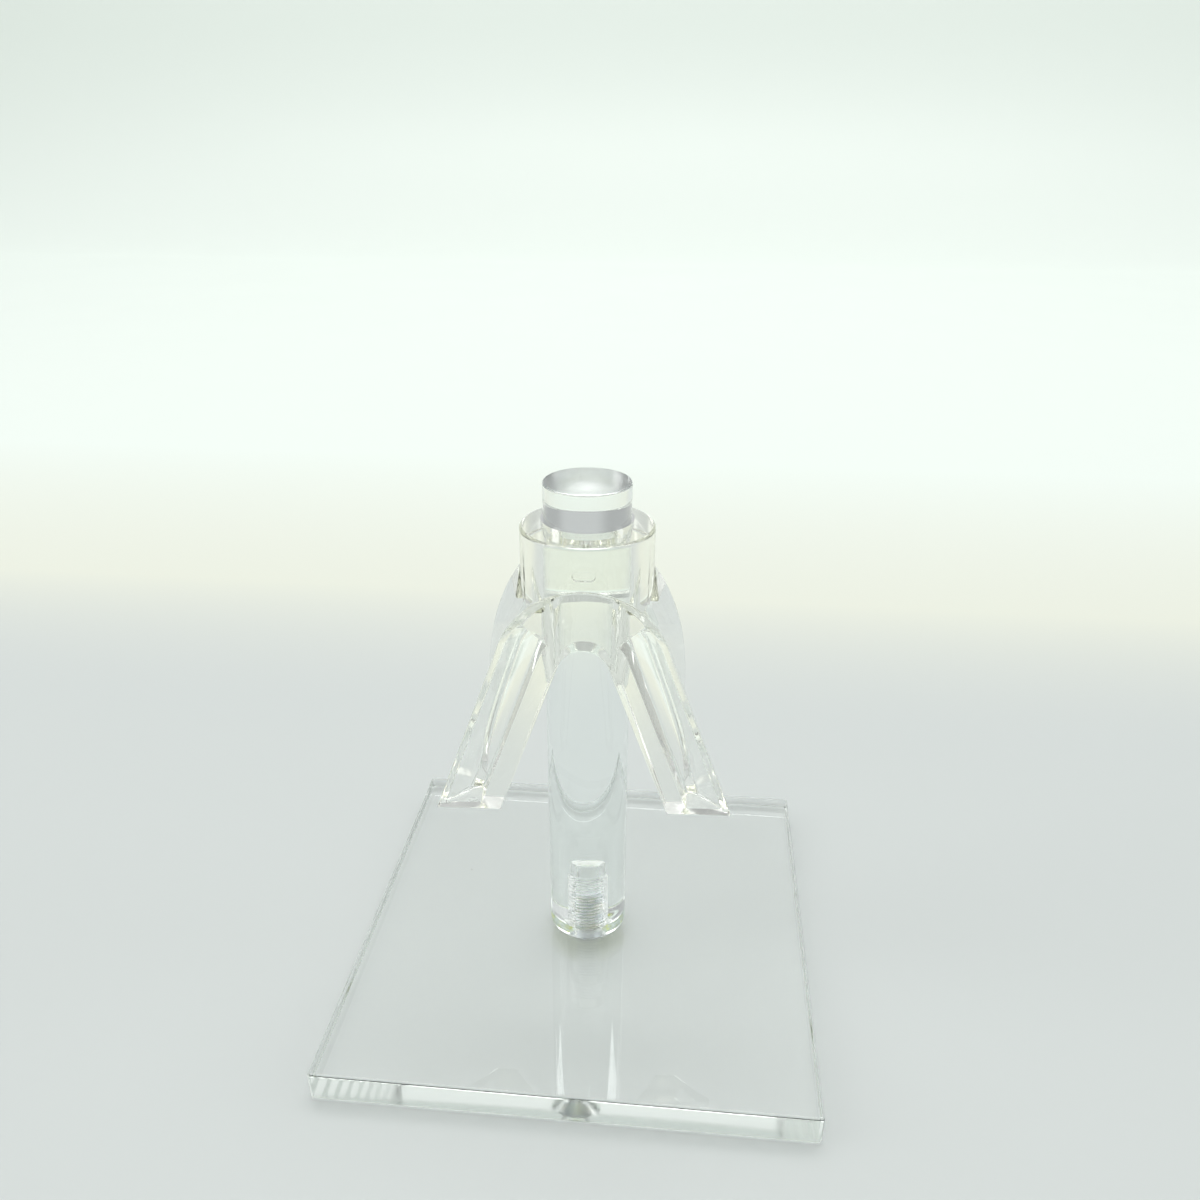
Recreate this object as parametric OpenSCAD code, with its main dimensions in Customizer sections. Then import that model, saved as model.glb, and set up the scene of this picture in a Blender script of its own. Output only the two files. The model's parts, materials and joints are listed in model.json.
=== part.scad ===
// Clear acrylic display stand for one pair of eyeglasses.
// A square plate carries a round rod, held by one countersunk screw from below. A moulded nose
// piece slides and turns on the rod: a collar with an arched saddle in front of it, whose two legs
// are cored out from the front and closed by flat feet. The glasses rest on it by their nose pads.
// The origin is the centre of the plate's underside, +Z is up and the front faces -Y.

/* [Base plate] */
// Side of the square plate
base_side = 75; // [60:1:120]
// Thickness of the plate
base_t = 5; // [4:0.5:8]
// Bevel along the plate's polished edges
base_bevel = 0.4; // [0.1:0.1:1]

/* [Post] */
// Diameter of the rod
post_d = 13; // [11:0.5:14]
// Length of the rod
post_h = 80; // [70:1:120]
// Bevel on both ends of the rod
post_bevel = 0.3; // [0.1:0.1:0.6]
// Depth of the tapped hole in the foot of the rod
tap_depth = 14; // [10:0.5:20]

/* [Screw] */
// Nominal diameter of the countersunk screw
screw_d = 4; // [4:1:5]
// Length of the screw with its head
screw_len = 12; // [10:1:14]
// Diameter of the head
head_d = 7.6; // [7.4:0.1:9.2]
// How far the head sits inside the underside of the plate
head_sunk = 0.15; // [0.1:0.05:0.4]

/* [Nose piece] */
// Outside diameter of the collar
collar_d = 20; // [19:0.5:22]
// Height of the collar
collar_h = 12.4; // [11:0.1:16]
// Distance from the top of the rod down to the collar
collar_drop = 6.5; // [2:0.5:20]
// Radial play between the collar and the rod
collar_play = 0.05; // [0.03:0.01:0.1]
// Angle that the nose piece is turned on the rod
nose_turn = 3; // [-45:1:45]
// Radius of the lip over the bridge
arch_r = 13; // [12:0.5:14]
// Lean of the two legs, from upright
leg_lean = 20; // [14:1:22]
// Width of the front face, from the opening to the lip's edge
band_w = 9.2; // [8.4:0.1:10]
// Wall round the opening
wall_t = 3.1; // [2.4:0.1:3.4]
// Distance from the rod's axis to the front face
reach = 12.4; // [12:0.1:14]
// Half width across the shoulders, at the back edge
cheek_w = 15.2; // [14:0.1:17]
// Thickness of the lip and of the pockets' outer wall
lip_t = 1; // [0.8:0.1:1.6]
// Thickness of the floor that closes each pocket
foot_t = 1; // [0.8:0.1:1.6]

/* [Hidden] */
$fn = 96;
eps = 0.01;

// Heights above the underside of the plate
post_top = base_t + post_h;
collar_top = post_top - collar_drop;
collar_low = collar_top - collar_h;
arch_z = collar_low - 6.1;
foot_z = collar_low - 29.7;

// Back edge: its shoulders rise beside the collar, and it comes forward towards the feet
shoulder_z = collar_low - 11.1;
shoulder_rise = 23;
back_taper_z = collar_low - 4.1;
back_foot_y = -7;
foot_flare = 1.3;

// The groove that the nose pads rest in: its place across the face and its share of the depth
groove_w = 0.68;
groove_y = 0.5;

// Pockets: cored out from the front between the wall and the lip
pocket_back = 2;
pocket_max = 4.9;
pocket_w = 0.55;
pocket_start = 8;

// Screw: a tapped hole is drilled to the core of the thread
tap_r = screw_d * 0.4125;
head_r = head_d / 2;
head_rim = 0.25;
head_cone_z = head_sunk + head_rim;
sink_gap = 0.07;
hole_gap = 0.25;
recess_w = 0.95;
recess_l = 4.4;
recess_depth = 1.5;
screw_bevel = 0.4;

// Moulded mark on the front of the collar
mark_w = 3.2;
mark_h = 1.3;
mark_depth = 0.3;
mark_z = collar_top - 4.2;

collar_bevel = 0.4;
bore_r = post_d / 2 + collar_play;

// Steps along one half of the saddle's outline
arch_steps = 12;
leg_steps = 9;

acrylic = [0.86, 0.93, 0.91, 0.45];
moulded = [0.90, 0.95, 0.92, 0.55];
steel = [0.72, 0.74, 0.75];

// ---- base plate: sawn square with polished, lightly bevelled edges ----

module square_block(side, z0, z1) {
    translate([-side / 2, -side / 2, z0]) cube([side, side, z1 - z0]);
}

// One bevel cutter lies along an upper or lower edge of the plate
module edge_cutter(z) {
    cutter = base_bevel * sqrt(2);
    translate([0, -base_side / 2, z]) rotate([45, 0, 0])
        cube([base_side + 2, cutter, cutter], center = true);
}

module base_plate() {
    color(acrylic) difference() {
        square_block(base_side, 0, base_t);
        for (turn = [0 : 90 : 270], z = [0, base_t]) rotate([0, 0, turn]) edge_cutter(z);
        translate([0, 0, -eps]) cylinder(r = screw_d / 2 + hole_gap, h = base_t + 2 * eps);
        rotate_extrude() polygon([
            [0, -eps],
            [head_r + sink_gap + head_cone_z + eps, -eps],
            [0, head_r + sink_gap + head_cone_z]
        ]);
    }
}

// ---- post: a solid rod with a blind tapped hole in its foot ----

module post() {
    r = post_d / 2;
    color(acrylic) difference() {
        rotate_extrude() polygon([
            [0, base_t], [r - post_bevel, base_t], [r, base_t + post_bevel],
            [r, post_top - post_bevel], [r - post_bevel, post_top], [0, post_top]
        ]);
        // the drill leaves a shallow cone at the end of the hole
        rotate_extrude() polygon([
            [0, base_t - eps], [tap_r, base_t - eps],
            [tap_r, base_t + tap_depth - tap_r * 0.6], [0, base_t + tap_depth]
        ]);
    }
}

// ---- screw: countersunk, with a cross recess in its head ----

module cross_recess() {
    for (turn = [0, 90]) rotate([0, 0, turn])
        translate([-recess_l / 2, -recess_w / 2, head_sunk - eps])
            cube([recess_l, recess_w, recess_depth + eps]);
}

module base_screw() {
    r = screw_d / 2;
    tip = head_sunk + screw_len;
    color(steel) difference() {
        rotate_extrude() polygon([
            [0, head_sunk], [head_r, head_sunk], [head_r, head_cone_z],
            [r, head_cone_z + head_r - r], [r, tip - screw_bevel], [r - screw_bevel, tip], [0, tip]
        ]);
        cross_recess();
    }
}

// ---- nose piece: a collar and an arched saddle, moulded in one ----

// The saddle runs from one foot over the arch to the other foot. Its flat front face lies between
// two outlines, the opening and the lip, which share the arch's centre and the lean of the legs.
// Behind the lip a groove takes the nose pads, and the back edge rises again as two shoulders.

function mix(a, b, t) = a + (b - a) * t;

// A point of the front face at one station: r is its distance from the arch's centre
function arch_point(r, k) =
    let (a = (90 - leg_lean) * k / arch_steps)
    [r * sin(a), arch_z + r * cos(a)];

function leg_point(r, t) =
    let (top = arch_point(r, arch_steps),
         z = mix(top[1], foot_z, t))
    [top[0] + (top[1] - z) * tan(leg_lean), z];

// The last steps of a leg lie close together round the top of the pocket's floor
floor_t = 1 - foot_t / (arch_z - foot_z);
function leg_share(k) =
    let (n = k - arch_steps)
    n <= leg_steps - 3 ? floor_t * 0.985 * n / (leg_steps - 3)
        : [floor_t * 0.995, floor_t, 1][n - leg_steps + 2];

function face_point(r, k) = k <= arch_steps ? arch_point(r, k) : leg_point(r, leg_share(k));

// A point of the back edge: an elliptic shoulder, an upright side and a flare into the foot
function flare(z) =
    let (u = max(0, 1 - (z - foot_z) / (2 * foot_flare)))
    foot_flare * (1 - sqrt(1 - u * u));

function back_point(k) =
    let (a = min(90, 90 * k / arch_steps),
         z = k <= arch_steps ? shoulder_z + shoulder_rise * cos(a)
             : mix(shoulder_z, foot_z, leg_share(k)))
    [cheek_w * sin(a) + flare(z), z];

function back_y(z) = back_foot_y * max(0, min(1, (back_taper_z - z) / (back_taper_z - foot_z)));

// Depth of the pocket: none over the arch and in the floor
function pocket(k, back) =
    k > pocket_start && leg_share(k) < floor_t * 0.999 ? min(pocket_max, back - pocket_back + reach) : 0;

function at(p, y, side) = [side * p[0], y, p[1]];

function section(k, side) =
    let (inner = face_point(arch_r - band_w, k),
         lip = face_point(arch_r, k),
         back = back_point(k),
         y = back_y(back[1]),
         deep = -reach + pocket(k, y),
         thin = band_w - lip_t)
    [at(inner, -reach, side),
     at(mix(inner, lip, wall_t / band_w), -reach, side),
     at(mix(inner, lip, wall_t / band_w + 0.03), deep, side),
     at(mix(inner, lip, pocket_w), deep, side),
     at(mix(inner, lip, thin / band_w), -reach, side),
     at(lip, -reach, side),
     at(mix(inner, lip, 0.985), -reach + 0.8 * lip_t, side),
     at(mix(inner, lip, groove_w), mix(-reach, y, groove_y), side),
     at(back, y, side),
     at(inner, y, side)];

last_step = arch_steps + leg_steps;
sections = concat(
    [for (k = [last_step : -1 : 1]) section(k, -1)],
    [for (k = [0 : last_step]) section(k, 1)]
);

// Both ends are closed by a fan of triangles from the groove's point
module band(rings) {
    n = len(rings[0]);
    last = len(rings) - 1;
    apex = 7;
    polyhedron(
        points = [for (ring = rings) for (p = ring) p],
        faces = concat(
            [for (j = [1 : n - 2]) [apex, (apex + j + 1) % n, (apex + j) % n]],
            [for (i = [0 : last - 1], j = [0 : n - 1])
                let (k = (j + 1) % n) [i * n + j, i * n + k, (i + 1) * n + k]],
            [for (i = [0 : last - 1], j = [0 : n - 1])
                let (k = (j + 1) % n) [i * n + j, (i + 1) * n + k, (i + 1) * n + j]],
            [for (j = [1 : n - 2])
                [last * n + apex, last * n + (apex + j) % n, last * n + (apex + j + 1) % n]]
        )
    );
}

module collar_blank() {
    r = collar_d / 2;
    rotate_extrude() polygon([
        [0, collar_low], [r - collar_bevel, collar_low], [r, collar_low + collar_bevel],
        [r, collar_top - collar_bevel], [r - collar_bevel, collar_top], [0, collar_top]
    ]);
}

module mark() {
    r = mark_h / 2;
    reach = mark_w / 2 - r;
    translate([0, -collar_d / 2 + mark_depth, mark_z]) rotate([90, 0, 0]) {
        for (side = [-1, 1]) translate([side * reach, 0, 0]) cylinder(r = r, h = 2);
        translate([-reach, -r, 0]) cube([2 * reach, mark_h, 2]);
    }
}

module nose_piece() {
    color(moulded) rotate([0, 0, nose_turn]) difference() {
        union() {
            collar_blank();
            band(sections);
        }
        translate([0, 0, foot_z - 1]) cylinder(r = bore_r, h = post_h);
        mark();
    }
}

base_plate();
post();
base_screw();
nose_piece();
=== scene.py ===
"""A clear acrylic display stand for one pair of glasses.

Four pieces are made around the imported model: the square plate, the round post with its tapped
hole, the countersunk screw and the moulded nose piece. Lengths are in metres, and MM turns
millimetres into metres. Places come from the frame's own boxes and the named sizes below.
"""
import json
import math
import bmesh
import bpy
import numpy as np
from mathutils import Matrix, Vector

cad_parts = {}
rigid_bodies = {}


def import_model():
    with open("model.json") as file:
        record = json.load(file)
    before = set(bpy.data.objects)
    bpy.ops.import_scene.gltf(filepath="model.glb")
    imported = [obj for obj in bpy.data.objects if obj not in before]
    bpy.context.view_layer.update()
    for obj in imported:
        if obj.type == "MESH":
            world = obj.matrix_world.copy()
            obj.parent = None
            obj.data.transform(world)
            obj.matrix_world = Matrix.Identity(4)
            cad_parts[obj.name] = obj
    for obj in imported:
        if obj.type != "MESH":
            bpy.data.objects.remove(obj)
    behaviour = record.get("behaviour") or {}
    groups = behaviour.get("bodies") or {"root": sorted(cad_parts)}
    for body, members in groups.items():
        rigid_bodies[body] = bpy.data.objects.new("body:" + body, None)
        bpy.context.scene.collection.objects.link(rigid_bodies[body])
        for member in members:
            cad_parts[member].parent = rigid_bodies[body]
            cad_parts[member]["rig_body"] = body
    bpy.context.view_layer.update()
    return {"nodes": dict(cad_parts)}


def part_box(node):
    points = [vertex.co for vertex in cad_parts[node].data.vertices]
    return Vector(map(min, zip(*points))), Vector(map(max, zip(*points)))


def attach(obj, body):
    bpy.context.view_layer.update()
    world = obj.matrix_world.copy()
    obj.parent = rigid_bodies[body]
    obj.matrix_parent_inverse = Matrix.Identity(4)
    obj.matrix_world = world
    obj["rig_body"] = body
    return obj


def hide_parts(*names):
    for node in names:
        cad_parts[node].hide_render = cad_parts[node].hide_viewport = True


MM = 0.001
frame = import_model()

plate_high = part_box("base_plate")[1]
post_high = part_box("post")[1]
screw_low, screw_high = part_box("base_screw")
nose_low, nose_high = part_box("nose_piece")

# ---- sizes taken from the frame -------------------------------------------------------------

PLATE_TOP = plate_high.z
PLATE_HALF = plate_high.x
POST_R = post_high.x
POST_TOP = post_high.z
COLLAR_TOP = nose_high.z
FOOT_LOW = nose_low.z

# ---- sizes that the boxes can't give --------------------------------------------------------

AIR = 0.03 * MM                # the thin film of air between two faces that touch
PLATE_BEVEL = 0.4 * MM
PLATE_CORNER = 0.7 * MM
PLATE_RINGS = (6 * MM, 14 * MM)   # where the plate's rows turn from circles to squares
PLATE_RIM_ROW = 8 * MM
HOLE_R = 2.25 * MM
SINK_R = 4.2 * MM
POST_BEVEL = 0.3 * MM
PITCH = 0.7 * MM
THREAD_DEPTH = 0.33 * MM
TAP_R = 1.68 * MM
TAP_DEPTH = 14 * MM
SCREW_R = 1.94 * MM
HEAD_R = screw_high.x
HEAD_RIM = 0.25 * MM
RECESS_R = 2.2 * MM
RECESS_W = 0.48 * MM
RECESS_DEPTH = 1.5 * MM
COLLAR_R = 10 * MM
COLLAR_H = 12.4 * MM
COLLAR_BEVEL = 0.5 * MM
BORE_R = POST_R + 0.05 * MM
NOSE_TURN = math.radians(3)


# ---- meshes ---------------------------------------------------------------------------------

def grid_faces(rows, cols, wrap_rows=False, wrap_cols=True):
    """Quads between neighbouring points of a grid. A wrapped direction joins its end to its start."""
    r = np.arange(rows if wrap_rows else rows - 1)
    c = np.arange(cols if wrap_cols else cols - 1)
    r, c = np.meshgrid(r, c, indexing="ij")
    r2, c2 = (r + 1) % rows, (c + 1) % cols
    quads = np.stack([r * cols + c, r * cols + c2, r2 * cols + c2, r2 * cols + c], axis=-1)
    return quads.reshape(-1, 4).tolist()


def mesh_of(name, points, faces, sharp=30):
    """A closed mesh from points and faces: doubled points are merged, the faces are turned
    outwards, and edges that bend by more than the sharp angle are shaded as edges."""
    mesh = bpy.data.meshes.new(name)
    mesh.from_pydata(points.reshape(-1, 3).tolist(), [], faces)
    work = bmesh.new()
    work.from_mesh(mesh)
    bmesh.ops.remove_doubles(work, verts=work.verts, dist=0.001 * MM)
    bmesh.ops.recalc_face_normals(work, faces=work.faces)
    work.to_mesh(mesh)
    work.free()
    mesh.shade_smooth()
    mesh.set_sharp_from_angle(angle=math.radians(sharp))
    return mesh


def add_piece(name, mesh, material, node):
    """Puts a finished mesh in the scene in place of a CAD node, on that node's body."""
    piece = bpy.data.objects.new(name, mesh)
    bpy.context.scene.collection.objects.link(piece)
    mesh.materials.clear()
    mesh.materials.append(material)
    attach(piece, frame["nodes"][node]["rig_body"])
    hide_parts(node)
    return piece


def rounded(corners, steps=6, margin=0.04 * MM):
    """A line through corners given as (radius, height, rounding). A rounded corner becomes an arc
    that is tangent to both of its sides, and each side gets a point near its ends, so that the
    smooth shading turns on the arc alone."""
    line = [np.array(corners[0][:2])]
    for before, here, after in zip(corners, corners[1:], corners[2:]):
        p = np.array(here[:2])
        if not here[2]:
            line.append(p)
            continue
        u = np.array(before[:2]) - p
        v = np.array(after[:2]) - p
        u, v = u / np.linalg.norm(u), v / np.linalg.norm(v)
        half = math.acos(np.clip(u @ v, -1, 1)) / 2
        centre = p + (u + v) / np.linalg.norm(u + v) * here[2] / math.sin(half)
        reach = here[2] / math.tan(half)
        start, end = p + u * reach - centre, p + v * reach - centre
        sweep = math.pi - 2 * half
        s = np.linspace(0, 1, steps + 1)[:, None]
        arc = centre + (np.sin((1 - s) * sweep) * start + np.sin(s * sweep) * end) / math.sin(sweep)
        line.append(p + u * (reach + margin))
        line.extend(arc)
        line.append(p + v * (reach + margin))
    line.append(np.array(corners[-1][:2]))
    return np.array(line)


def turned(profile, cols, thread=None):
    """A profile of (radius, height) turned about Z. A thread adds to the radius at each height and
    angle: thread(height, angle) is zero where there is none."""
    angle = 2 * math.pi * np.arange(cols) / cols
    radius = np.repeat(profile[:, :1], cols, axis=1)
    height = np.repeat(profile[:, 1:2], cols, axis=1)
    if thread:
        radius = radius + np.where(radius > 0, thread(radius, height, angle[None, :]), 0)
    return np.stack([radius * np.cos(angle), radius * np.sin(angle), height], axis=-1)


def ridge(height, angle, low, high):
    """How far up a V-thread's flank each point is, from 0 in the root to 1 on the crest. The crest
    climbs one pitch a turn, and the thread runs out over one pitch at both ends."""
    phase = (height / PITCH - angle / (2 * math.pi)) % 1
    fade = np.clip((height - low) / PITCH, 0, 1) * np.clip((high - height) / PITCH, 0, 1)
    vee = np.clip(1.25 * (1 - np.abs(2 * phase - 1)) - 0.125, 0, 1)
    return vee * fade


# ---- base plate -----------------------------------------------------------------------------

def square_line(inset, side_steps=56, corner_steps=8):
    """The plate's outline, moved inwards by inset: four straight sides and four quarter circles."""
    half = PLATE_HALF - inset
    r = max(PLATE_CORNER - inset, 0.05 * MM)
    turn = np.radians(np.linspace(0, 90, corner_steps + 1))
    corner = np.stack([half - r + r * np.cos(turn), half - r + r * np.sin(turn)], axis=-1)
    along = np.linspace(0, 1, side_steps + 2)[1:-1, None]
    side = corner[-1] + (np.array([-(half - r), half]) - corner[-1]) * along
    quarter = np.concatenate([corner, side])
    spins = [np.array([[math.cos(a), math.sin(a)], [-math.sin(a), math.cos(a)]])
             for a in np.radians([0, 90, 180, 270])]
    return np.concatenate([quarter @ spin for spin in spins])


def plate_mesh():
    """The plate as one closed sheet of rows. Rows near the middle are circles round the hole, rows
    near the rim follow the square outline, and the last row joins the first inside the hole."""
    outline = square_line(0)
    ray = outline / np.linalg.norm(outline, axis=1)[:, None]

    def ring(radius, height):
        return np.column_stack([ray * radius, np.full(len(ray), height)])

    def rim(inset, height):
        return np.column_stack([square_line(inset), np.full(len(ray), height)])

    top, low = PLATE_TOP, 0.0
    turn = np.radians(np.linspace(0, 90, 7))
    bevel_in = PLATE_BEVEL * (1 - np.sin(turn))
    bevel_down = PLATE_BEVEL * (1 - np.cos(turn))
    margin = 0.05 * MM
    rows = [ring(HOLE_R, top - 0.1 * MM), ring(HOLE_R + 0.1 * MM, top), ring(PLATE_RINGS[0], top),
            ring(PLATE_RINGS[1], top), rim(PLATE_RIM_ROW, top), rim(PLATE_BEVEL + margin, top)]
    rows += [rim(i, top - d) for i, d in zip(bevel_in, bevel_down)]
    rows += [rim(0, top - PLATE_BEVEL - margin), rim(0, low + PLATE_BEVEL + margin)]
    rows += [rim(i, low + d) for i, d in zip(bevel_in[::-1], bevel_down[::-1])]
    rows += [rim(PLATE_BEVEL + margin, low), rim(PLATE_RIM_ROW, low), ring(PLATE_RINGS[1], low),
             ring(SINK_R, low), ring(HOLE_R, low + SINK_R - HOLE_R)]
    points = np.array(rows)
    return mesh_of("plate_clear", points, grid_faces(len(rows), len(ray), wrap_rows=True))


# ---- post -----------------------------------------------------------------------------------

def post_mesh():
    """A rod whose profile starts on the axis at its top, goes down its side and across its foot, and
    goes up the tapped hole to the tip that the drill left."""
    foot = PLATE_TOP + AIR
    hole_end = PLATE_TOP + TAP_DEPTH
    shell = rounded([(0, POST_TOP, 0), (POST_R, POST_TOP, POST_BEVEL), (POST_R, foot, POST_BEVEL),
                     (TAP_R + THREAD_DEPTH + 0.25 * MM, foot, 0)])
    hole_rows = np.arange(foot + 0.45 * MM, hole_end - 1.4 * MM, PITCH / 11)
    hole = np.column_stack([np.full(len(hole_rows), TAP_R), hole_rows])
    tip = rounded([(TAP_R, hole_end - 1.2 * MM, 0), (TAP_R, hole_end - 0.7 * MM, 0.4 * MM),
                   (0, hole_end, 0)])
    profile = np.concatenate([shell, hole, tip])

    def cut(radius, height, angle):
        inside = radius < TAP_R + 0.01 * MM
        return np.where(inside, THREAD_DEPTH * ridge(height, angle, foot, hole_end - 3 * MM), 0)

    points = turned(profile, 256, cut)
    return mesh_of("post_clear", points, grid_faces(*points.shape[:2]), sharp=50)


# ---- screw ----------------------------------------------------------------------------------

def screw_mesh():
    """A countersunk screw whose profile starts at the tip, goes down the thread and the cone, and
    ends in the middle of the head, where a tapered cross is pressed in."""
    low, tip = screw_low.z, screw_high.z
    cone_z = low + HEAD_RIM
    neck_z = cone_z + HEAD_R - SCREW_R
    thread_rows = np.arange(tip - 0.45 * MM, neck_z + 0.4 * MM, -PITCH / 11)
    profile = np.concatenate([
        rounded([(0, tip, 0), (SCREW_R - 0.4 * MM, tip, 0.1 * MM), (SCREW_R, tip - 0.4 * MM, 0)]),
        np.column_stack([np.full(len(thread_rows), SCREW_R), thread_rows]),
        rounded([(SCREW_R, neck_z + 0.3 * MM, 0), (SCREW_R, neck_z, 0.2 * MM),
                 (HEAD_R, cone_z, 0.08 * MM), (HEAD_R, low, 0.08 * MM),
                 (HEAD_R - 0.3 * MM, low, 0)]),
        np.column_stack([np.linspace(HEAD_R - 0.4 * MM, 0, 56), np.full(56, low)]),
    ])

    def cut(radius, height, angle):
        shank = np.abs(radius - SCREW_R) < 0.01 * MM
        return np.where(shank, THREAD_DEPTH * (ridge(height, angle, neck_z, tip + PITCH) - 1)
                        * np.clip((height - neck_z) / PITCH, 0, 1), 0)

    points = turned(profile, 208, cut)
    x, y, z = points[..., 0], points[..., 1], points[..., 2]
    face = np.abs(z - low) < 0.001 * MM
    wing = np.minimum(np.abs(x), np.abs(y))
    reach = np.maximum(np.abs(x), np.abs(y))
    slope = np.clip((RECESS_R - reach) / (0.9 * MM), 0, 1)
    wall = np.clip((RECESS_W - wing) / (0.12 * MM), 0, 1)
    core = np.clip((0.95 * MM - np.hypot(x, y)) / (0.5 * MM), 0, 1)
    depth = RECESS_DEPTH * np.maximum(np.minimum(slope, wall), core * 0.95)
    points[..., 2] = np.where(face, z + depth, z)
    return mesh_of("screw_steel", points, grid_faces(*points.shape[:2]), sharp=40)


# ---- nose piece -----------------------------------------------------------------------------

LEAN = math.radians(20)
ARCH_END = math.pi / 2 - LEAN  # where the arch turns into a straight leg
ARCH_R = 13 * MM
BAND = 9.2 * MM                # width of the front face, from the opening to the lip's edge
WALL, LIP, FLOOR = 3.1 * MM, 1.0 * MM, 1.0 * MM
FACE_Y = -12.4 * MM
COLLAR_LOW = COLLAR_TOP - COLLAR_H
ARCH_Z = COLLAR_LOW - 6.1 * MM
SHOULDER_Z, SHOULDER_RISE = COLLAR_LOW - 11.1 * MM, 23 * MM
CHEEK_W, FOOT_FLARE = 15.2 * MM, 1.3 * MM
BACK_TAPER_Z, BACK_FOOT_Y = COLLAR_LOW - 4.1 * MM, -7 * MM
GROOVE_W, GROOVE_Y = 0.68, 0.5

# the pocket: its bottom's place across the face, the wall behind it, its depth, and the angles
# between which it deepens along the arch
POCKET_W, POCKET_BACK, POCKET_MAX = 0.55, 2 * MM, 4.9 * MM
POCKET_FROM, POCKET_FULL = math.radians(47), math.radians(54)
POCKET_STEEP = 0.03            # how far its wall leans, as a share of the face
POCKET_END = 0.012             # the share of the leg over which it ends above the foot

# the roundings of a section's corners, in the order of the corners in saddle_mesh
EDGES = np.array([0.3, 0.12, 0.5, 0.5, 0.2, 0.3, 0.3, 5.0, 0.4, 0.3]) * MM
WIDE_EDGE = 1.5 * MM           # a wider rounding gets three times the steps

MARK_HALF, MARK_R, MARK_DEPTH, MARK_DROP = 0.95 * MM, 0.65 * MM, 0.3 * MM, 4.2 * MM


def stations():
    """Where the saddle is cut across: an angle from the crown along the arch, and then a share of
    the way down the leg, close together at both ends of the pocket and round the foot's edges."""
    fine = 0.6 * ARCH_END
    angle = np.concatenate([np.linspace(0, fine, 25)[:-1], np.linspace(fine, ARCH_END, 29)])
    floor = 1 - FLOOR / (ARCH_Z - FOOT_LOW)
    share = np.concatenate([np.linspace(0, floor - 0.03, 40)[1:], floor + np.linspace(-0.028, 0, 12),
                            [0.985, 0.993, 0.998, 1.0]])
    return (np.concatenate([angle, np.full(len(share), angle[-1])]),
            np.concatenate([np.zeros(len(angle)), share]), floor)


def face_line(r, angle, share):
    """A line of the front face, as far as r from the arch's centre: r (sin, cos) of the angle over
    the arch, then a straight leg down to the foot that leans outwards by the leg's lean."""
    x, z = r * np.sin(angle), ARCH_Z + r * np.cos(angle)
    low = z + (FOOT_LOW - z) * share
    return np.column_stack([x + (z - low) * math.tan(LEAN), low])


def back_line(angle, share):
    """The back edge: a quarter ellipse for the shoulder, an upright side, and a quarter circle that
    flares into the foot. Its depth comes forward in a straight line below the collar."""
    turn = angle * (math.pi / 2 / ARCH_END)
    z = SHOULDER_Z + SHOULDER_RISE * np.cos(turn)
    z = z + (FOOT_LOW - z) * share
    u = np.clip(1 - (z - FOOT_LOW) / (2 * FOOT_FLARE), 0, 1)
    x = CHEEK_W * np.sin(turn) + FOOT_FLARE * (1 - np.sqrt(1 - u * u))
    y = BACK_FOOT_Y * np.clip((BACK_TAPER_Z - z) / (BACK_TAPER_Z - FOOT_LOW), 0, 1)
    return np.column_stack([x, z]), y


def softened(corners, radii, steps=5):
    """Rings of corners with each corner rounded: a corner P between the points P + d and P + e on its
    sides becomes P + (1 - t)^2 d + t^2 e, which is tangent to both sides."""
    before = np.roll(corners, 1, axis=1) - corners
    after = np.roll(corners, -1, axis=1) - corners
    rows = []
    for i, radius in enumerate(radii):
        d, e = (side[:, i] * np.minimum(radius / np.linalg.norm(side[:, i], axis=1), 0.46)[:, None]
                for side in (before, after))
        count = steps if radius < WIDE_EDGE else 3 * steps
        for t in np.linspace(0, 1, count):
            rows.append(corners[:, i] + (1 - t) ** 2 * d + t ** 2 * e)
    return np.stack(rows, axis=1)


def saddle_mesh():
    """The arched saddle as a closed band of rings, one at each station: the flat front face with its
    cored pocket, the lip, the groove for the nose pads, the back edge and the opening's skin."""
    angle, share, floor = stations()
    inner = face_line(ARCH_R - BAND, angle, share)
    lip = face_line(ARCH_R, angle, share)
    back, back_y = back_line(angle, share)
    start = np.clip((angle - POCKET_FROM) / (POCKET_FULL - POCKET_FROM), 0, 1)
    end = np.clip((floor - share) / POCKET_END, 0, 1)
    gate = np.minimum(np.sin(start * math.pi / 2), np.sin(end * math.pi / 2))
    pocket = gate * np.minimum(POCKET_MAX, back_y - POCKET_BACK - FACE_Y)

    def across(t, y):
        point = inner + (lip - inner) * t
        return np.column_stack([point[:, 0], np.broadcast_to(y, len(point)), point[:, 1]])

    deep = FACE_Y + pocket
    corners = np.stack([
        across(0, FACE_Y), across(WALL / BAND, FACE_Y),
        across(WALL / BAND + POCKET_STEEP, deep), across(POCKET_W, deep),
        across(1 - LIP / BAND, FACE_Y), across(1, FACE_Y),
        across(0.985, FACE_Y + 0.8 * LIP), across(GROOVE_W, FACE_Y + (back_y - FACE_Y) * GROOVE_Y),
        np.column_stack([back[:, 0], back_y, back[:, 1]]),
        np.column_stack([inner[:, 0], back_y, inner[:, 1]])], axis=1)
    half = softened(corners, EDGES)
    other = half[:0:-1] * np.array([-1, 1, 1])
    rings = np.concatenate([other, half])
    count, around = rings.shape[:2]
    ends = rings[[0, -1]].mean(axis=1)
    points = np.concatenate([rings.reshape(-1, 3), ends])
    faces = grid_faces(count, around)
    for first, centre in ((0, count * around), ((count - 1) * around, count * around + 1)):
        faces += [[first + j, first + (j + 1) % around, centre] for j in range(around)]
    return mesh_of("saddle", points, faces)


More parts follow.
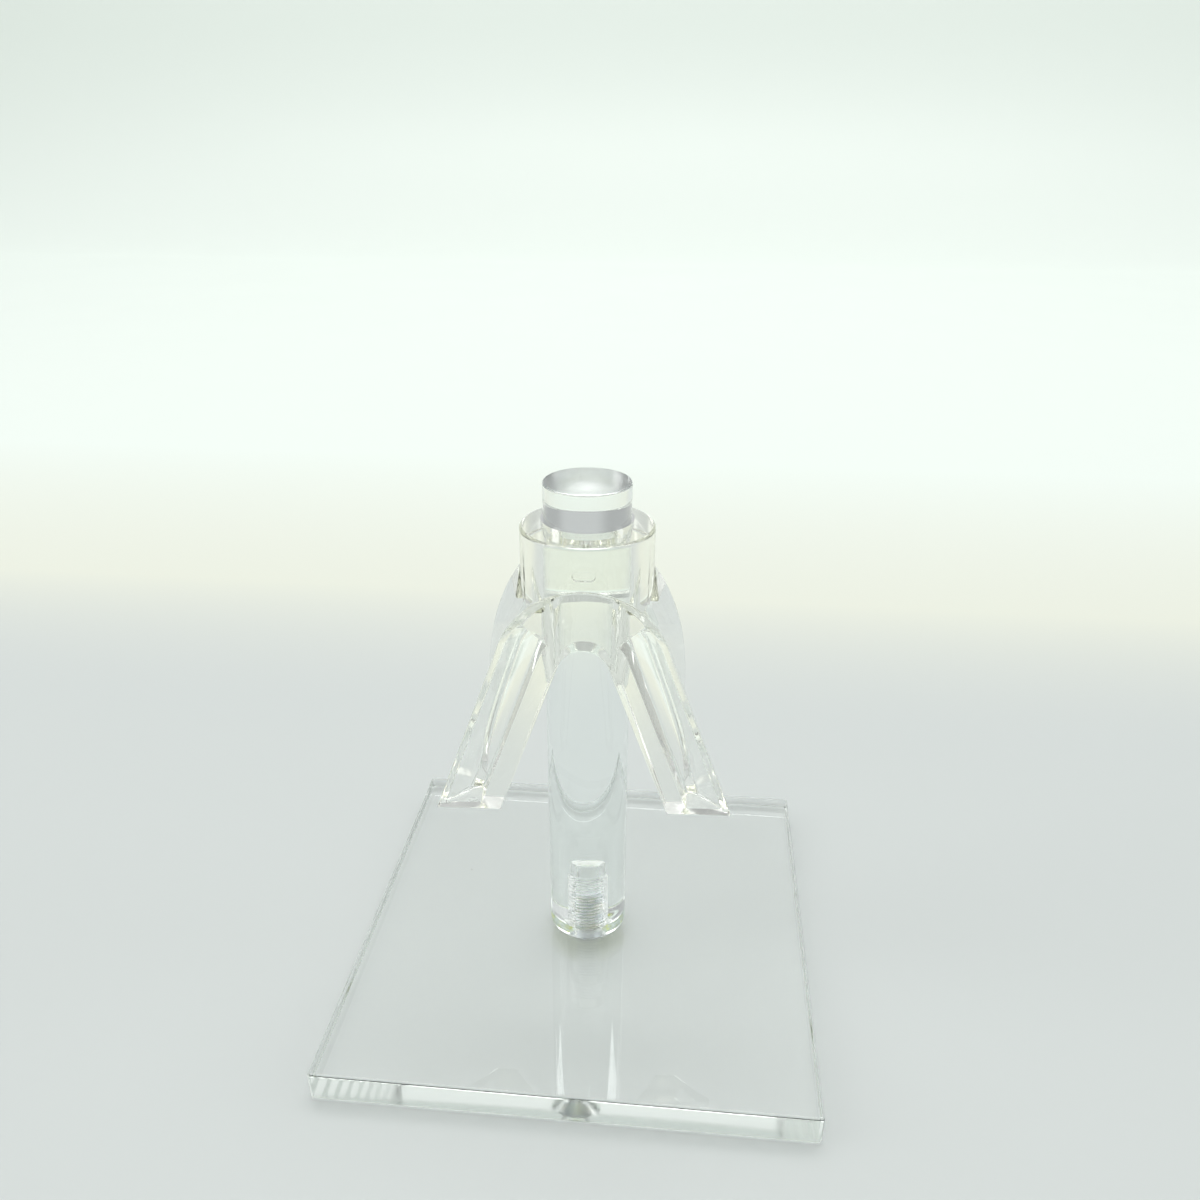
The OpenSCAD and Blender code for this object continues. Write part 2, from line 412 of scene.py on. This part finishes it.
def carved(mesh, joined, removed):
    """One skin from several closed meshes: the joined ones are united with the first, and then the
    removed ones are taken away from it."""
    scene = bpy.context.scene
    work = bpy.data.objects.new("work", mesh)
    scene.collection.objects.link(work)
    tools = []
    for tool_mesh, operation in [(m, "UNION") for m in joined] + [(m, "DIFFERENCE") for m in removed]:
        tool = bpy.data.objects.new("tool", tool_mesh)
        scene.collection.objects.link(tool)
        tools.append(tool)
        cut = work.modifiers.new("cut", "BOOLEAN")
        cut.operation = operation
        cut.solver = "EXACT"
        cut.object = tool
    view = bpy.context.evaluated_depsgraph_get()
    result = bpy.data.meshes.new_from_object(work.evaluated_get(view))
    for used in [work] + tools:
        bpy.data.objects.remove(used)
    return result


def lathe(name, profile, cols):
    """A closed solid turned from a profile that starts and ends on the axis."""
    points = turned(profile, cols)
    return mesh_of(name, points, grid_faces(*points.shape[:2]))


def mark_cutter():
    """A capsule outline pushed into the front of the collar, for the small moulded mark."""
    turn = np.radians(np.linspace(-90, 90, 17))
    end = np.column_stack([MARK_HALF + MARK_R * np.cos(turn), MARK_R * np.sin(turn)])
    outline = np.concatenate([end, -end])
    z = COLLAR_TOP - MARK_DROP
    bottom = -COLLAR_R + MARK_DEPTH
    rows = []
    for grow, y in ((0, bottom), (0.12, bottom - MARK_DEPTH / 2), (0.25, -COLLAR_R - 1 * MM)):
        rows.append(np.column_stack([outline[:, 0] * (1 + 0.4 * grow), np.full(len(outline), y),
                                     z + outline[:, 1] * (1 + grow)]))
    rows = [rows[0] * np.array([0, 1, 0]) + np.array([0, 0, z])] + rows
    rows.append(rows[-1] * np.array([0, 1, 0]) + np.array([0, 0, z]))
    points = np.array(rows)
    return mesh_of("mark", points, grid_faces(*points.shape[:2]))


def nose_mesh():
    """The saddle united with the collar, bored through for the post, with the moulded mark pressed
    into the front of the collar, and the whole turned to where it stands on the post. Known fault:
    the result isn't a clean solid. Some edges join more than two faces, a few are open, and faces
    of the bore's tool are left standing 1 mm above the collar."""
    collar = rounded([(0, COLLAR_TOP, 0), (COLLAR_R, COLLAR_TOP, COLLAR_BEVEL),
                      (COLLAR_R, COLLAR_LOW, COLLAR_BEVEL), (0, COLLAR_LOW, 0)])
    over, under = COLLAR_TOP + 1 * MM, FOOT_LOW - 1 * MM
    mouth = BORE_R + 0.3 * MM
    bore = rounded([(0, over, 0), (mouth, over, 0), (mouth, COLLAR_TOP + 0.01 * MM, 0),
                    (BORE_R, COLLAR_TOP - 0.3 * MM, 0.2 * MM), (BORE_R, under, 0), (0, under, 0)])
    mesh = carved(saddle_mesh(), [lathe("collar", collar, 192)],
                  [lathe("bore", bore, 192), mark_cutter()])
    mesh.transform(Matrix.Rotation(NOSE_TURN, 4, "Z"))
    mesh.shade_smooth()
    mesh.set_sharp_from_angle(angle=math.radians(28))
    mesh.name = "nose_clear"
    return mesh


# ---- shader maths ---------------------------------------------------------------------------

class Wire:
    """A socket of a material's tree. Arithmetic on it adds Math nodes, and make() adds any node."""

    def __init__(self, tree, socket=None):
        self.tree = tree
        self.socket = socket

    def make(self, kind, settings=None, links=None, out=0):
        """Adds a node of that kind: its settings first, then the values or links of its sockets."""
        node = self.tree.nodes.new(kind)
        for name, value in (settings or {}).items():
            if name == "stops":
                node.color_ramp.elements.remove(node.color_ramp.elements[1])
                for place, (position, colour) in enumerate(value):
                    stop = (node.color_ramp.elements[0] if place == 0
                            else node.color_ramp.elements.new(position))
                    stop.position = position
                    stop.color = (*colour, 1)
            else:
                setattr(node, name, value)
        for name, value in (links or {}).items():
            if isinstance(value, Wire):
                self.tree.links.new(value.socket, node.inputs[name])
            else:
                node.inputs[name].default_value = value
        return Wire(self.tree, node.outputs[out])

    def maths(self, operation, *values):
        return self.make("ShaderNodeMath", {"operation": operation}, dict(enumerate(values)))

    def __add__(self, other):
        return self.maths("ADD", self, other)

    def __sub__(self, other):
        return self.maths("SUBTRACT", self, other)

    def __mul__(self, other):
        return self.maths("MULTIPLY", self, other)

    def __rsub__(self, other):
        return self.maths("SUBTRACT", other, self)

    def __pow__(self, other):
        return self.maths("POWER", self, other)

    __radd__ = __add__
    __rmul__ = __mul__

    def between(self, low, high):
        """0 below low, 1 above high and a soft step from one to the other."""
        return self.make("ShaderNodeMapRange", {"interpolation_type": "SMOOTHSTEP"},
                         {"Value": self, "From Min": low, "From Max": high})

    def places(self):
        """The point on the piece, in millimetres."""
        here = self.make("ShaderNodeTexCoord", out=3)
        return self.make("ShaderNodeMapping", None, {"Vector": here, "Scale": (1000, 1000, 1000)})

    def stretched(self, scale, turn=(0, 0, 0)):
        return self.make("ShaderNodeMapping", None,
                         {"Vector": self, "Scale": scale, "Rotation": turn})

    def noise(self, scale, detail=2, roughness=0.5):
        return self.make("ShaderNodeTexNoise", None,
                         {"Vector": self, "Scale": scale, "Detail": detail, "Roughness": roughness})

    def axis(self, index):
        return self.make("ShaderNodeSeparateXYZ", None, {"Vector": self}, out=index)

    def bump(self, strength, reach_mm):
        return self.make("ShaderNodeBump", None,
                         {"Height": self, "Strength": strength, "Distance": reach_mm * MM})


def new_material(name):
    """An empty material, its first wire and its output node."""
    material = bpy.data.materials.new(name)
    material.use_nodes = True
    tree = material.node_tree
    tree.nodes.clear()
    output = tree.nodes.new("ShaderNodeOutputMaterial")
    return material, Wire(tree), output


def clear_plastic(wire, colour, ior, rough, normal):
    return wire.make("ShaderNodeBsdfPrincipled", None, {
        "Base Color": colour, "Transmission Weight": 1.0, "IOR": ior,
        "Roughness": rough, "Normal": normal})


def soak(wire, output, colour, density):
    """The faint colour that light takes on along its way inside the plastic."""
    inside = wire.make("ShaderNodeVolumeAbsorption", None,
                       {"Color": (*colour, 1), "Density": density})
    wire.tree.links.new(inside.socket, output.inputs["Volume"])


def hairlines(here, turn, pitch, share):
    """Sparse fine scratches that run one way: long thin noise of which only the peaks are kept."""
    lines = here.stretched((0.05, 1 / pitch, 0.05), (0, 0, math.radians(turn))).noise(1.0, 3, 0.6)
    return lines.between(share, share + 0.05)


def plate_acrylic():
    """Cast sheet: clear faces with wipe marks, hairlines and a few specks of dust, and polished
    edges with the cutter's faint upright lines."""
    material, wire, output = new_material("plate_acrylic")
    here = wire.places()
    x, y, z = here.axis(0), here.axis(1), here.axis(2)
    far = x.maths("MAXIMUM", x.maths("ABSOLUTE", x), y.maths("ABSOLUTE", y))
    half = PLATE_HALF / MM
    edge = far.between(half - 0.25, half - 0.1)
    face = 1 - edge
    wipes = here.noise(0.09, 4, 0.6).between(0.5, 0.75)
    scratch = (hairlines(here, 24, 0.25, 0.71) + hairlines(here, -51, 0.3, 0.72)
               + hairlines(here, 83, 0.4, 0.73))
    upright = here.stretched((2.2, 2.2, 0.12)).noise(1.0, 4, 0.65)
    rough = 0.006 + wipes * face * 0.03 + scratch * face * 0.12 + edge * (0.03 + upright * 0.1)
    height = upright * edge * 0.9 + scratch * face * 0.02
    normal = height.bump(0.25, 0.03)
    clear = clear_plastic(wire, (0.992, 0.996, 0.993, 1), 1.49, rough, normal)
    specks = here.make("ShaderNodeTexVoronoi", {"feature": "F1"},
                       {"Vector": here, "Scale": 0.14, "Randomness": 1.0})
    pick = here.make("ShaderNodeTexVoronoi", {"feature": "F1"},
                     {"Vector": here, "Scale": 0.14, "Randomness": 1.0}, out=1).axis(0)
    top = z.between(PLATE_TOP / MM - 0.02, PLATE_TOP / MM - 0.01)
    dust = (1 - specks.between(0.018, 0.03)) * pick.between(0.45, 0.5) * top * face
    fluff = wire.make("ShaderNodeBsdfDiffuse", None, {"Color": (0.62, 0.6, 0.5, 1)})
    both = wire.make("ShaderNodeMixShader", None, {0: dust * 0.7, 1: clear, 2: fluff})
    wire.tree.links.new(both.socket, output.inputs["Surface"])
    soak(wire, output, (0.76, 0.92, 0.78), 3.0)
    return material


def rod_acrylic():
    """Extruded rod: faint lines drawn along its side, a sawn and sanded top, a turned foot, and the
    white, torn surface that a tap leaves in the hole."""
    material, wire, output = new_material("rod_acrylic")
    here = wire.places()
    x, y, z = here.axis(0), here.axis(1), here.axis(2)
    radius = (x * x + y * y) ** 0.5
    top = z.between(POST_TOP / MM - 0.12, POST_TOP / MM - 0.03)
    side = radius.between(POST_R / MM - 0.2, POST_R / MM - 0.1)
    hole = (1 - radius.between(2.3, 2.4)) * (1 - z.between(PLATE_TOP / MM + 14, PLATE_TOP / MM + 15))
    drawn = here.stretched((2.5, 2.5, 0.03)).noise(1.0, 3, 0.6)
    sawn = here.stretched((3.0, 0.25, 1.0), (0, 0, math.radians(8))).noise(1.0, 4, 0.65)
    torn = here.noise(5.0, 4, 0.7)
    smear = here.noise(0.16, 3, 0.6).between(0.5, 0.8)
    rough = 0.008 + smear * side * 0.03 + top * (0.26 + sawn * 0.2) + hole * (0.5 + torn * 0.3)
    height = drawn * side * 0.25 + sawn * top * 0.8 + torn * hole
    normal = height.bump(0.2, 0.03)
    clear = clear_plastic(wire, (0.985, 0.998, 0.995, 1), 1.49, rough, normal)
    wire.tree.links.new(clear.socket, output.inputs["Surface"])
    soak(wire, output, (0.7, 0.9, 0.82), 5.0)
    return material


def moulded_clear():
    """Injection moulded plastic: glossy, a little wavy where it flowed round the core, hazier in
    patches, and faintly yellow where it is seen through its length."""
    material, wire, output = new_material("moulded_clear")
    here = wire.places()
    flow = here.stretched((0.5, 0.5, 0.22)).noise(1.0, 3, 0.55)
    fine = here.noise(3.0, 3, 0.6)
    haze = here.noise(0.3, 3, 0.6).between(0.45, 0.8)
    rough = 0.015 + haze * 0.05 + fine * 0.02
    normal = (flow * 0.9 + fine * 0.03).bump(0.05, 0.25)
    clear = clear_plastic(wire, (0.99, 0.995, 0.98, 1), 1.53, rough, normal)
    wire.tree.links.new(clear.socket, output.inputs["Surface"])
    soak(wire, output, (0.88, 0.88, 0.62), 10.0)
    return material


def zinc_steel():
    """Bright zinc plating: cool grey with a faint blue and straw bloom, pressed and rolled marks."""
    material, wire, output = new_material("zinc_steel")
    here = wire.places()
    bloom = here.noise(0.6, 3, 0.5)
    grain = here.stretched((6, 6, 2)).noise(1.0, 4, 0.7)
    colour = bloom.make("ShaderNodeValToRGB", {"stops": [
        (0.35, (0.62, 0.66, 0.72)), (0.5, (0.74, 0.76, 0.77)), (0.68, (0.78, 0.75, 0.68))]},
        {"Fac": bloom})
    steel = wire.make("ShaderNodeBsdfPrincipled", None, {
        "Base Color": colour, "Metallic": 1.0, "Roughness": 0.22 + grain * 0.2,
        "Normal": grain.bump(0.3, 0.03)})
    wire.tree.links.new(steel.socket, output.inputs["Surface"])
    return material


def floor_white():
    """A pale satin surface with a very faint mottle and a faint painted glow of its own, which stands
    in for light from below.
    Its colour is painted light and shade: cool grey under the stand, a touch warmer just behind it
    and brightest at the back."""
    material, wire, output = new_material("floor_white")
    here = wire.places()
    mottle = here.noise(0.01, 4, 0.6)
    way_back = here.axis(1).between(70, 500)
    # painted light and shade: the floor's colour is darker near the stand and brightest at the back
    colour = way_back.make("ShaderNodeValToRGB", {"stops": [
        (0.0, (0.38, 0.40, 0.392)), (0.08, (0.46, 0.47, 0.42)), (0.5, (0.47, 0.50, 0.475))]},
        {"Fac": way_back})
    # painted glow: the floor gives off light of its own, stronger towards the back, in place of light
    # from below
    painted_glow = way_back.make("ShaderNodeValToRGB", {"stops": [
        (0.0, (0.18, 0.192, 0.188)), (0.08, (0.25, 0.26, 0.22)), (0.5, (0.30, 0.33, 0.305))]},
        {"Fac": way_back})
    # the emission here is the painted glow, not a lamp
    satin = wire.make("ShaderNodeBsdfPrincipled", None, {
        "Base Color": colour, "Roughness": 0.45 + mottle * 0.1,
        "Emission Color": painted_glow, "Emission Strength": 1.0})
    wire.tree.links.new(satin.socket, output.inputs["Surface"])
    return material


# ---- the four pieces ------------------------------------------------------------------------

add_piece("base_plate_clear", plate_mesh(), plate_acrylic(), "base_plate")
add_piece("post_clear", post_mesh(), rod_acrylic(), "post")
add_piece("base_screw_steel", screw_mesh(), zinc_steel(), "base_screw")
add_piece("nose_piece_clear", nose_mesh(), moulded_clear(), "nose_piece")


# ---- floor, lights and camera ---------------------------------------------------------------

def floor_sweep():
    """A pale sweep: flat under the stand, then curving up behind it into a wall."""
    far, bend, height, wide = 1.0, 0.25, 0.34, 2.6
    turn = np.radians(np.linspace(0, 90, 25))
    depth = np.concatenate([[-2.2], far + bend * np.sin(turn), [far + bend]])
    up = np.concatenate([[0.0], bend * (1 - np.cos(turn)), [height]]) - 0.15 * MM
    across = np.array([-wide, wide])
    points = np.stack([np.repeat(across[None, :], len(depth), axis=0),
                       np.repeat(depth[:, None], 2, axis=1),
                       np.repeat(up[:, None], 2, axis=1)], axis=-1)
    mesh = bpy.data.meshes.new("floor_sweep")
    mesh.from_pydata(points.reshape(-1, 3).tolist(), [],
                     grid_faces(len(depth), 2, wrap_cols=False))
    mesh.shade_smooth()
    floor = bpy.data.objects.new("floor_sweep", mesh)
    bpy.context.scene.collection.objects.link(floor)
    mesh.materials.append(floor_white())


def soft_light(name, place, target, size, watts, colour=(1, 1, 1)):
    """A rectangular softbox that faces the target."""
    lamp = bpy.data.lights.new(name, "AREA")
    lamp.shape = "RECTANGLE"
    lamp.size, lamp.size_y = size
    lamp.energy = watts
    lamp.color = colour
    box = bpy.data.objects.new(name, lamp)
    bpy.context.scene.collection.objects.link(box)
    box.location = place
    box.rotation_euler = (Vector(target) - Vector(place)).to_track_quat("-Z", "Y").to_euler()


def room_light():
    """Pale light from the ceiling and from low down, with a band of room between
    them that is dimmer, most of all to the sides."""
    world = bpy.data.worlds.new("room_light")
    bpy.context.scene.world = world
    world.use_nodes = True
    tree = world.node_tree
    tree.nodes.clear()
    wire = Wire(tree)
    way = wire.make("ShaderNodeTexCoord", out=0)
    above = way.axis(2).between(0.45, 0.9)
    low = 1 - way.axis(2).between(0.05, 0.3)
    side = way.axis(0).maths("ABSOLUTE", way.axis(0)).between(0.2, 0.45)
    bright = 0.58 + above * 0.42 + low * 0.12 - side * (1 - above) * (1 - low) * 0.15
    sky = wire.make("ShaderNodeBackground", None,
                    {"Color": (0.97, 1.0, 0.99, 1), "Strength": bright})
    out = tree.nodes.new("ShaderNodeOutputWorld")
    tree.links.new(sky.socket, out.inputs["Surface"])


def set_camera():
    """The viewer's place: in front, above and a little to the right, looking down at the post."""
    camera = bpy.data.objects.new("camera", bpy.data.cameras.new("camera"))
    bpy.context.scene.collection.objects.link(camera)
    camera.data.sensor_width = 36
    camera.data.lens = 30.04
    camera.data.clip_start = 0.01
    pitch, heading, roll = math.radians(64.90), math.radians(5.39), math.radians(0.27)
    look = (Matrix.Rotation(heading, 4, "Z") @ Matrix.Rotation(pitch, 4, "X")
            @ Matrix.Rotation(roll, 4, "Z"))
    camera.matrix_world = Matrix.Translation((0.01473, -0.13614, 0.13030)) @ look
    bpy.context.scene.camera = camera


floor_sweep()
room_light()
middle = (0, 0, 0.045)
soft_light("left_window", (-0.75, -0.15, 0.55), middle, (0.35, 0.7), 1.8, (1.0, 1.0, 0.98))
soft_light("right_fill", (0.85, 0.05, 0.45), middle, (0.3, 0.6), 0.8, (0.98, 1.0, 1.0))
soft_light("ceiling", (0.1, 0.2, 1.2), middle, (1.0, 1.0), 2.0)
soft_light("back_wash", (0, 0.6, 1.4), (0, 1.0, 0), (2.0, 0.5), 10.0)
set_camera()

scene = bpy.context.scene
scene.view_settings.view_transform = "Standard"
scene.cycles.max_bounces = 40
scene.cycles.transmission_bounces = 32
scene.cycles.glossy_bounces = 16
scene.cycles.diffuse_bounces = 6
scene.cycles.transparent_max_bounces = 32
scene.cycles.blur_glossy = 0.2
